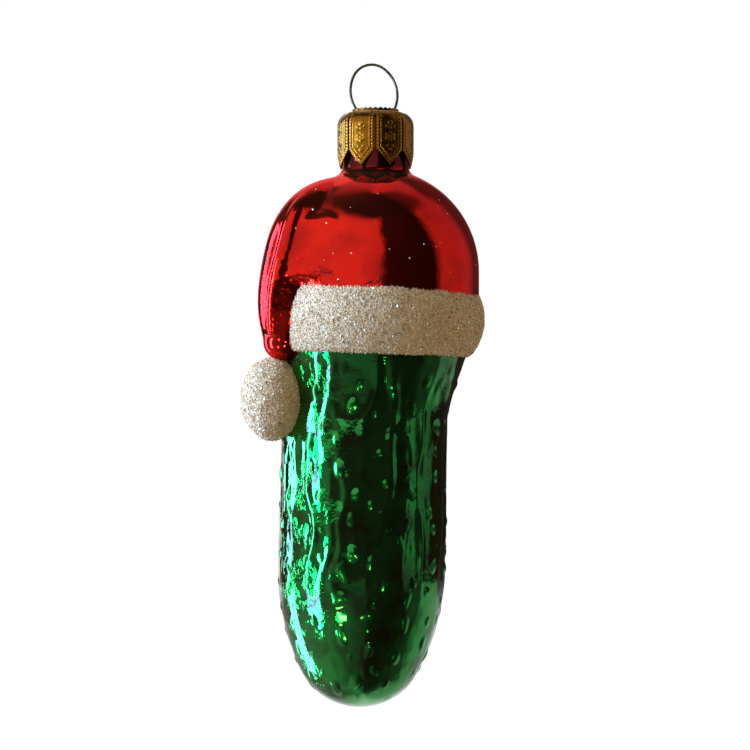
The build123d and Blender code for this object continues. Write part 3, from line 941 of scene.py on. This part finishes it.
def strew(name, bed, chips_per_mm2, seed):
    """Chips strewn over a bed where it is marked as sown, as a piece of its own."""
    group = bpy.data.node_groups.new(name, "GeometryNodeTree")
    group.interface.new_socket("Geometry", in_out="INPUT", socket_type="NodeSocketGeometry")
    group.interface.new_socket("Geometry", in_out="OUTPUT", socket_type="NodeSocketGeometry")
    start = add_node(group, "NodeGroupInput")
    end = add_node(group, "NodeGroupOutput")
    sown = add_node(group, "GeometryNodeInputNamedAttribute", data_type="FLOAT",
                    values={"Name": "sown"})
    thick = add_node(group, "ShaderNodeMath", operation="MULTIPLY",
                     values={1: chips_per_mm2 / MM**2}, links={0: sown.outputs[0]})
    spots = add_node(group, "GeometryNodeDistributePointsOnFaces", values={"Seed": seed},
                     links={"Mesh": start.outputs[0], "Density": thick.outputs[0]})
    one = add_node(group, "GeometryNodeObjectInfo", values={"Object": chip})
    spin = add_node(group, "FunctionNodeRandomValue", data_type="FLOAT_VECTOR",
                    values={0: (0, 0, 0), 1: (2 * math.pi,) * 3, 8: seed})
    sizes = add_node(group, "FunctionNodeRandomValue", data_type="FLOAT",
                     values={2: CHIP_SIZES[0], 3: CHIP_SIZES[1], 8: seed + 1})
    copies = add_node(group, "GeometryNodeInstanceOnPoints",
                      links={"Points": spots.outputs["Points"], "Instance": one.outputs["Geometry"],
                             "Rotation": spin.outputs[0], "Scale": sizes.outputs[1]})
    own = add_node(group, "FunctionNodeRandomValue", data_type="FLOAT", values={8: seed + 2})
    marked = add_node(group, "GeometryNodeStoreNamedAttribute", data_type="FLOAT", domain="INSTANCE",
                      values={"Name": "chip"},
                      links={"Geometry": copies.outputs[0], "Value": own.outputs[1]})
    real = add_node(group, "GeometryNodeRealizeInstances", links={"Geometry": marked.outputs[0]})
    group.links.new(real.outputs[0], end.inputs[0])
    pick(bed)
    bpy.ops.object.duplicate()
    chips = bpy.context.object
    chips.name = name
    # Any custom marks that the copy takes over from the bed aren't its own
    for mark in list(chips.keys()):
        del chips[mark]
    chips.data.materials.clear()
    finish_with(chips, "NODES", node_group=group)
    print(name, count(chips) // count(chip), "chips,", count(chips), "triangles")
    return chips


def lumpy(piece, outward, size_mm, tall_mm):
    """Pushes a piece's points in and out by soft lumps."""
    places = points_of(piece)
    move_points(piece, places + outward * (lumps_at(places, size_mm) * tall_mm * MM)[:, None])


print("glitter of", CHIPS_PER_MM2, "chips to a square millimetre")

# %% [markdown]
# ## Brim
# The brim is a bulging band round the hat, moulded in the glass and coated with glitter. It is taller
# at the left and leans down to the right. A cylinder could be bevelled, but a turned outline gives the
# bulge at once, and the wedge and the lean are then two moves of its points.

# %% Brim
BRIM_R = 18.5
BRIM_TOP_R = 17.45
BRIM_FOOT_R = 16.6
BRIM_HALF = 5.9
BRIM_RISE = 1.0
BRIM_LEAN = 3.2
BRIM_WEDGE = 1.7
BRIM_EDGE = 0.7
BRIM_STEPS = 200
BRIM_RINGS = 120
BRIM_LUMP_MM = 2.2
BRIM_LUMP = 0.16
BRIM_ROUNDS = 6
BRIM_SEED = 5
SOWN_RIM = 1.6


def bulge(top, middle, foot, steps=30):
    """Points of a bulging side from top to foot through a middle point, as a smooth curve."""
    share = np.linspace(0, 1, steps)
    rise = (middle[1] - top[1]) / (foot[1] - top[1])
    straight = top[0] + (foot[0] - top[0]) * rise
    crown = (middle[0] - straight) / (rise * (1 - rise))
    reach = top[0] + (foot[0] - top[0]) * share + crown * share * (1 - share)
    return list(zip(reach, top[1] + (foot[1] - top[1]) * share))


brim_outline = [(0, BRIM_HALF), (BRIM_TOP_R - BRIM_EDGE, BRIM_HALF)]
brim_outline += bulge((BRIM_TOP_R, BRIM_HALF - BRIM_EDGE / 2), (BRIM_R, BRIM_RISE),
                      (BRIM_FOOT_R, BRIM_EDGE / 2 - BRIM_HALF))
brim_outline += [(BRIM_FOOT_R - BRIM_EDGE, -BRIM_HALF), (0, -BRIM_HALF)]
brim, _, _, outward = turned("brim_bed", brim_outline, BRIM_STEPS, BRIM_RINGS)
lumpy(brim, outward, BRIM_LUMP_MM, BRIM_LUMP)
places = points_of(brim)
places[:, 2] *= 1 - places[:, 0] * math.tan(math.radians(BRIM_WEDGE)) / (BRIM_HALF * MM)
brim_middle = np.array([0, 0, BRIM_Z]) * MM
move_points(brim, lean(places + brim_middle, brim_middle, BRIM_LEAN))
finish_with(brim, "SMOOTH", factor=SOFTEN, iterations=BRIM_ROUNDS)
from_axis = np.hypot(points_of(brim)[:, 0], points_of(brim)[:, 1]) / MM
mark_points(brim, "sown", from_axis > BRIM_FOOT_R - SOWN_RIM)
smooth(brim)
brim.data.materials.append(glue)
brim_chips = strew("brim_chips", brim, CHIPS_PER_MM2, BRIM_SEED)
for piece in (brim, brim_chips):
    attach(piece, "glass")
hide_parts("brim_glitter")

# %% [markdown]
# ## Pompom
# The pompom is an egg of glass at the end of the hat's tip, in the same glitter. It is turned from half
# an ellipse, made a little lumpy and moved to its place at the front left of the pickle.

# %% Pompom
POMPOM_HALF_WIDTH = 5.1
POMPOM_HALF_HEIGHT = 6.85
POMPOM_TURN = 64
POMPOM_OUT = 3.0
POMPOM_DROP = 13.35
POMPOM_STEPS = 96
POMPOM_RINGS = 72
POMPOM_LUMP_MM = 2.0
POMPOM_LUMP = 0.18
POMPOM_SEED = 9

low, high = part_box("pompom_glitter")
pompom_middle = np.array(at_turn(POMPOM_TURN, PICKLE_R + POMPOM_OUT, -POMPOM_DROP)) + hang
pompom_middle[0] -= POMPOM_DROP * math.sin(math.radians(PICKLE_LEAN)) * MM
angles = [math.radians(degrees) for degrees in range(90, -91, -3)]
pompom_outline = [(POMPOM_HALF_WIDTH * math.cos(a), POMPOM_HALF_HEIGHT * math.sin(a)) for a in angles]
pompom, _, _, outward = turned("pompom_bed", pompom_outline, POMPOM_STEPS, POMPOM_RINGS)
lumpy(pompom, outward, POMPOM_LUMP_MM, POMPOM_LUMP)
move_points(pompom, points_of(pompom) + pompom_middle)
smooth(pompom)
pompom.data.materials.append(glue)
mark_points(pompom, "sown", np.ones(len(pompom.data.vertices)))
pompom_chips = strew("pompom_chips", pompom, CHIPS_PER_MM2, POMPOM_SEED)
for piece in (pompom, pompom_chips):
    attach(piece, "glass")
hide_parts("pompom_glitter")
print("pompom box", [round(v / MM, 1) for v in (*low, *high)], "middle", np.round(pompom_middle / MM, 1))

# %% [markdown]
# ## Stray chips
# A few chips always miss the glue and stick to the wet lacquer of the dome. They are strewn as the
# others are, but hundreds of times thinner, and only between the brim and the top of the dome.

# %% Chips that strayed onto the hat
STRAY_PER_MM2 = 0.03
STRAY_SEED = 3
BARE_TOP = 2
UNDER_BRIM = 1

heights = points_of(hat)[:, 2] / MM
on_dome = (heights < DOME_Z + DOME_R - BARE_TOP) & (heights > BRIM_Z + BRIM_HALF - UNDER_BRIM)
mark_points(hat, "sown", on_dome)
stray_chips = strew("stray_chips", hat, STRAY_PER_MM2, STRAY_SEED)
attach(stray_chips, "glass")

# %% [markdown]
# ## Crown cap
# The cap is stamped from thin gilt sheet: a serrated collar round the hole, a round shoulder and
# eight petals embossed with strings of beads and a rosette. Its finish comes first. The stamping marks
# each point with how far it is raised, and the gold reads that mark as painted light: a painted
# highlight on what stands out and painted shade in the dips.

# %% Gilt sheet
WEAR_MM = 1.2
WEAR = 0.5
GILT_ROUGH = (0.20, 0.36)

# Gold lacquer on stamped sheet with random wear, painted bright where it is raised and painted dark brown
# in the dips as shade
gilt, tree, shader = new_finish("gilt_stamped_sheet")
# The mark read here is painted light: bright on the raised stamping, dark in the dips and grooves
stamped = add_node(tree, "ShaderNodeAttribute", attribute_name="raised")
wear = add_node(tree, "ShaderNodeTexNoise", values={"Scale": 1 / (WEAR_MM * MM), "Detail": 3},
                links={"Vector": add_node(tree, "ShaderNodeTexCoord").outputs["Object"]})
rubbed = add_node(tree, "ShaderNodeMath", operation="MULTIPLY_ADD", use_clamp=True,
                  values={1: WEAR}, links={0: wear.outputs["Fac"], 2: stamped.outputs["Fac"]})
tones = add_node(tree, "ShaderNodeValToRGB", links={"Fac": rubbed.outputs[0]})
set_stops(tones, [(0.10, linear("#3A2004")), (0.85, linear("#C07E24"))])
dull = add_node(tree, "ShaderNodeMapRange", links={"Value": wear.outputs["Fac"]},
                values={"To Min": GILT_ROUGH[0], "To Max": GILT_ROUGH[1]})
fill_sockets(tree, shader, values={"Metallic": 1.0},
             links={"Base Color": tones.outputs["Color"], "Roughness": dull.outputs[0]})
print("made", gilt.name)

# %% [markdown]
# ## Petals and collar
# Beads could be modelled one by one and joined, but a stamped sheet is one skin. So one petal is a fine
# flat grid that is embossed and wrapped over the shoulder. Its seven copies are merged with it into one
# sheet, and only then does the sheet get its thickness, so that no walls are left inside.

# %% Outline of one petal
PETALS = 8
CAP_R = 6.55
CAP_TOP = -7.5
CAP_FOOT = -17.4
COLLAR_R = 4.05
COLLAR_HEIGHT = 0.5
SLIT_TOP = 1.7
SLIT_FADE = 0.2
SLIT_HALF = 0.16
POINT = 2.5
POINT_LAP = 0.25
TIP_HALF = 0.15
ACROSS = 44
ALONG = 96

shoulder_r = CAP_R - COLLAR_R
shoulder_z = CAP_TOP - COLLAR_HEIGHT - shoulder_r
shoulder_run = shoulder_r * math.pi / 2
petal_run = shoulder_run + shoulder_z - CAP_FOOT

deselect()
bpy.ops.mesh.primitive_grid_add(x_subdivisions=ACROSS, y_subdivisions=ALONG, size=1)
petal = bpy.context.object
petal.name = "crown_cap"
flat = points_of(petal)
down = (0.5 - flat[:, 1]) * petal_run
around_shoulder = np.clip(down / shoulder_r, 0, math.pi / 2)
radius = COLLAR_R + shoulder_r * np.sin(around_shoulder)
height = shoulder_z + shoulder_r * np.cos(around_shoulder) - np.clip(down - shoulder_run, 0, None)
slit = np.clip((CAP_TOP - SLIT_TOP - height) / SLIT_FADE, 0, 1) * SLIT_HALF
half_side = radius * math.pi / PETALS - slit
point_share = np.clip((CAP_FOOT + POINT - height) / POINT, 0, 1)
half = half_side * (1 - point_share) + TIP_HALF * point_share
across = flat[:, 0] * 2 * half

# Distance from the petal's edge, and how far along that edge
slope = math.atan2(CAP_R * math.pi / PETALS - SLIT_HALF - TIP_HALF, POINT)
edge_side = half_side - np.abs(across)
edge_point = (half - np.abs(across)) * math.cos(slope)
near_point = height < CAP_FOOT + POINT + POINT_LAP
from_edge = np.where(near_point, np.minimum(edge_side, edge_point), edge_side)
on_point = near_point & (edge_point < edge_side)
along_edge = np.where(on_point, (CAP_FOOT + POINT - height) / math.cos(slope), height)
print("petal", round(petal_run, 1), "mm along the sheet,", count(petal), "triangles")

# %% Stamping of the petal
SHEET = 0.25
EMBOSS = 0.16
BEAD_PITCH = 0.56
BEAD_R = 0.24
BEAD_IN = 0.36
LINE_IN = 0.86
LINE_R = 0.16
LINE_TALL = 0.7
GROOVE_R = 0.12
GROOVE_DEPTH = 0.06
ROSETTE_DROP = 5.3
LEAVES = 6
LEAF_OUT = 0.62
LEAF_R = 0.27
LEAF_TALL = 0.9
HEART_R = 0.26
# Round dots above and below the rosette: across, up from its middle, and radius
DOTS = [(0, 2.3, 0.42), (0, -2.15, 0.30), (-0.42, -1.55, 0.22), (0.42, -1.55, 0.22),
        (0, -3.1, 0.24), (0, 1.45, 0.2), (-0.62, 1.75, 0.18), (0.62, 1.75, 0.18)]
PLAIN_TOP = 0.62
PLAIN_FADE = 0.2
# Depth of the flat sheet below the highest stamping, as a share of its thickness
SUNK = 0.3
# How bright the flat sheet and the raised stamping are painted, and how much painted shade the open
# groove takes off
FLAT_POLISH = 0.25
RAISED_POLISH = 0.75
GROOVE_POLISH = 0.3
OPEN_GROOVE = 0.3


def dome(gap, size):
    """Height of a round bump at a gap from its middle, 1 at the top."""
    return np.sqrt(np.clip(1 - (gap / size) ** 2, 0, None))


bead_gap = (along_edge / BEAD_PITCH + 0.5) % 1 * BEAD_PITCH - BEAD_PITCH / 2
raised = dome(np.hypot(bead_gap, from_edge - BEAD_IN), BEAD_R)
raised = np.maximum(raised, LINE_TALL * dome(from_edge - LINE_IN, LINE_R))
middle = CAP_TOP - ROSETTE_DROP
for dot_x, dot_z, dot_r in DOTS:
    raised = np.maximum(raised, dome(np.hypot(across - dot_x, height - middle - dot_z), dot_r))
for leaf in range(LEAVES):
    leaf_x = LEAF_OUT * math.sin(leaf * 2 * math.pi / LEAVES)
    leaf_z = LEAF_OUT * math.cos(leaf * 2 * math.pi / LEAVES)
    leaf_gap = np.hypot(across - leaf_x, height - middle - leaf_z)
    raised = np.maximum(raised, LEAF_TALL * dome(leaf_gap, LEAF_R))
raised = np.maximum(raised, dome(np.hypot(across, height - middle), HEART_R))
raised *= np.clip((CAP_TOP - PLAIN_TOP - height) / PLAIN_FADE, 0, 1)
groove = dome(from_edge - (BEAD_IN + LINE_IN) / 2, GROOVE_R)
lift = np.minimum(-SHEET * SUNK + EMBOSS * raised - GROOVE_DEPTH * groove, 0)
polish = FLAT_POLISH + RAISED_POLISH * raised - GROOVE_POLISH * groove * (raised < OPEN_GROOVE)
turn = across / radius + math.pi / PETALS
out = radius + lift * np.sin(around_shoulder)
top = height + lift * np.cos(around_shoulder)
move_points(petal, np.stack([out * np.sin(turn), -out * np.cos(turn), top], 1) * MM)
# Painted light for the gilt: painted highlight on the raised stamping, painted shade in the groove
mark_points(petal, "raised", polish)
print("stamped", round(float(-lift.min()), 2), "mm deep")

# %% Seven copies and their thickness
MERGE_MM = 0.002
WALL = 0.20


def edit_all(piece, action, **settings):
    """Runs an edit-mode operator on the whole of a piece."""
    pick(piece)
    bpy.ops.object.mode_set(mode="EDIT")
    bpy.ops.mesh.select_all(action="SELECT")
    action(**settings)
    bpy.ops.object.mode_set(mode="OBJECT")


facing = petal.data.polygons[len(petal.data.polygons) // 3]
if facing.normal.dot(Vector((facing.center.x, facing.center.y, 0))) < 0:
    edit_all(petal, bpy.ops.mesh.flip_normals)
petals = [petal]
for step in range(1, PETALS):
    pick(petal)
    bpy.ops.object.duplicate()
    bpy.context.object.rotation_euler.z = 2 * math.pi * step / PETALS
    petals.append(bpy.context.object)
cap = join_all(petals)
edit_all(cap, bpy.ops.mesh.remove_doubles, threshold=MERGE_MM * MM)
finish_with(cap, "SOLIDIFY", thickness=WALL * MM, offset=-1)
print("petals as one sheet:", count(cap), "triangles")

# %% Serrated collar
TEETH = 28
TOOTH = 0.26
TOOTH_STEPS = 8
COLLAR_IN = 0.08
COLLAR_SINK = 0.1
COLLAR_WALL = 0.34
COLLAR_POLISH = 0.3
CAP_ANGLE = 45

deselect()
bpy.ops.mesh.primitive_cylinder_add(vertices=TEETH * TOOTH_STEPS, radius=(COLLAR_R - COLLAR_IN) * MM,
                                    depth=COLLAR_HEIGHT * MM, end_fill_type="NOTHING",
                                    location=(0, 0, (CAP_TOP - COLLAR_HEIGHT / 2) * MM))
collar = bpy.context.object
rim = points_of(collar)
wave = np.abs((np.arctan2(rim[:, 1], rim[:, 0]) / (2 * math.pi) * TEETH) % 1 - 0.5) * 2
rim[:, 2] -= np.where(rim[:, 2] > 0, (1 - wave) * TOOTH * MM, COLLAR_SINK * MM)
move_points(collar, rim)
# Painted highlight, brightest on the tips of the teeth, and painted shade on the rest of the collar
mark_points(collar, "raised", np.where(rim[:, 2] > 0, COLLAR_POLISH * wave, 0.0))
finish_with(collar, "SOLIDIFY", thickness=COLLAR_WALL * MM, offset=-1)
cap = join_all([cap, collar])
smooth(cap)
bpy.ops.object.shade_smooth_by_angle(angle=math.radians(CAP_ANGLE))
cap.data.materials.append(gilt)
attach(cap, "cap")
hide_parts("cap")
print("cap:", count(cap), "triangles")

# %% [markdown]
# ## Hanger
# The hanger is hard-drawn spring wire, dark with oil and a little rubbed. Its solid is already the
# wire's true shape, so it stays and only gets its finish.

# %% Oiled spring wire
RUB_MM = 0.9
WIRE_ROUGH = 0.38

# Oiled steel: dark olive with lighter rubbed spots and a soft gloss
wire, tree, shader = new_finish("oiled_spring_wire")
rub = add_node(tree, "ShaderNodeTexNoise", values={"Scale": 1 / (RUB_MM * MM), "Detail": 3},
               links={"Vector": add_node(tree, "ShaderNodeTexCoord").outputs["Object"]})
tones = add_node(tree, "ShaderNodeValToRGB", links={"Fac": rub.outputs["Fac"]})
set_stops(tones, [(0.35, linear("#4C4530")), (0.7, linear("#8C8060"))])
fill_sockets(tree, shader, values={"Metallic": 1.0, "Roughness": WIRE_ROUGH},
             links={"Base Color": tones.outputs["Color"]})
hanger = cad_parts["hanger_wire"]
hanger.data.materials.clear()
hanger.data.materials.append(wire)
print("wire finish on", hanger.name)

# %% [markdown]
# ## Tidying
# The one chip that the glitter was copied from is removed.

# %% Remove the copied chip
bpy.data.objects.remove(chip)
